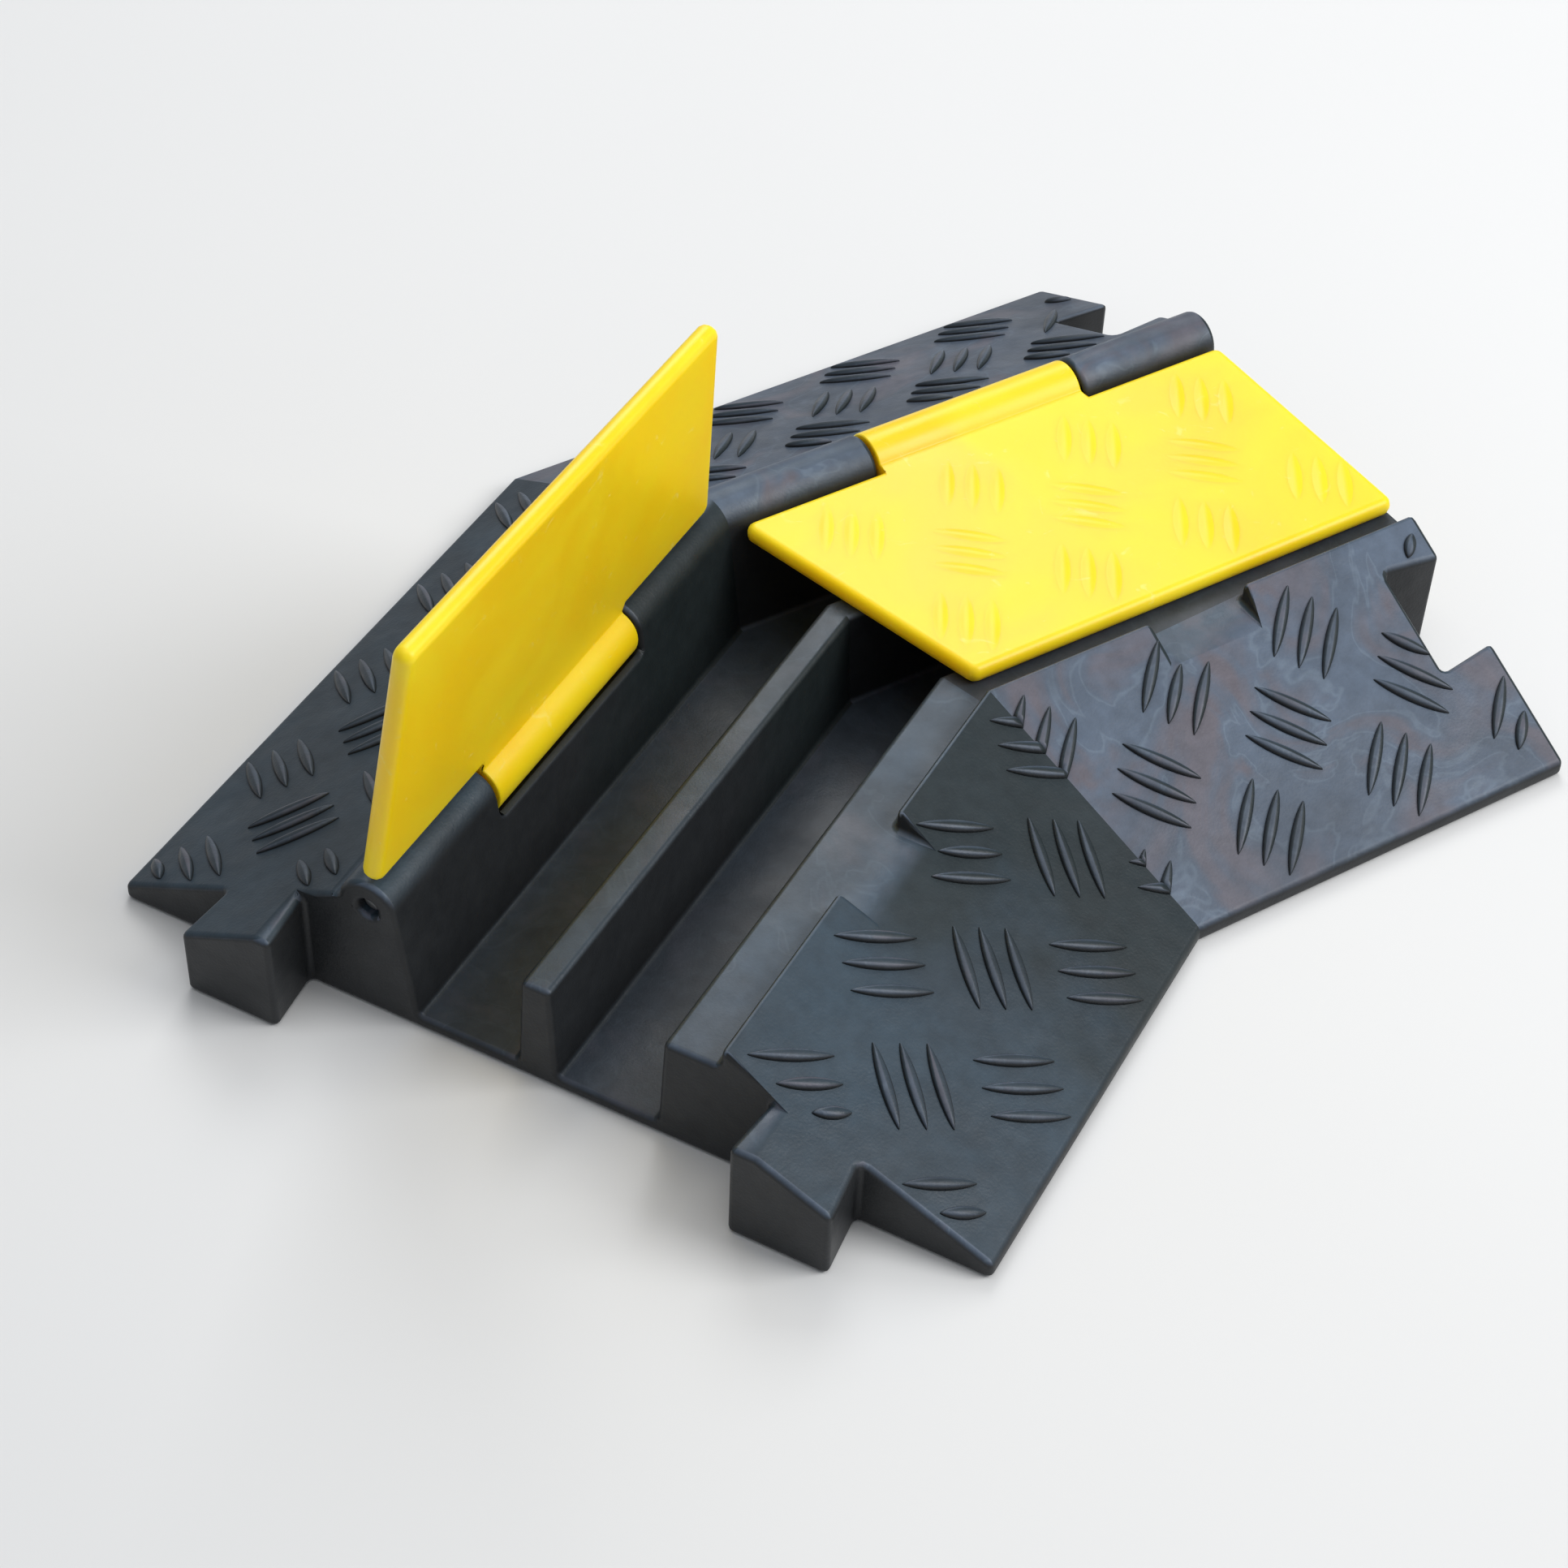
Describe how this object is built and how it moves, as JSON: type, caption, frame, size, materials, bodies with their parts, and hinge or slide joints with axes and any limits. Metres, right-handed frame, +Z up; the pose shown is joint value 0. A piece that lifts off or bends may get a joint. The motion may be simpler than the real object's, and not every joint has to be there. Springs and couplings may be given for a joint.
{
  "type": "floor cord cover",
  "caption": "Bend unit of a floor cord cover: a ramped rubber base with cable channels under hinged plastic lids, with lugs and sockets that join it to the next unit.",
  "frame": {"origin": "middle of the unit's box at rest, on the floor", "axes": "+Z up; +Y from the inner side of the bend to the hinge side; +X from the near segment with the lugs to the far segment with the sockets"},
  "size_m": [0.38, 0.2912, 0.127],
  "materials": {
    "rubber": "moulded black rubber, satin, with a grey bloom",
    "lid_plastic": "moulded yellow plastic, satin gloss",
    "pin_steel": "drawn steel rod"
  },
  "bodies": {
    "base": {"ramp_body": "rubber", "hinge_pin_near": "pin_steel", "hinge_pin_far": "pin_steel"},
    "near_lid": {"lid_near": "lid_plastic"},
    "far_lid": {"lid_far": "lid_plastic"}
  },
  "joints": [
    {"name": "near_lid_hinge", "type": "hinge", "parent": "base", "child": "near_lid", "pos_m": [-0.07986, 0.04326, 0.0362], "axis": [-0.9659, -0.2588, 0], "range_deg": [-80, 70]},
    {"name": "far_lid_hinge", "type": "hinge", "parent": "base", "child": "far_lid", "pos_m": [0.0889, 0.04326, 0.0362], "axis": [-0.9659, 0.2588, 0], "range_deg": [0, 150]}
  ]
}
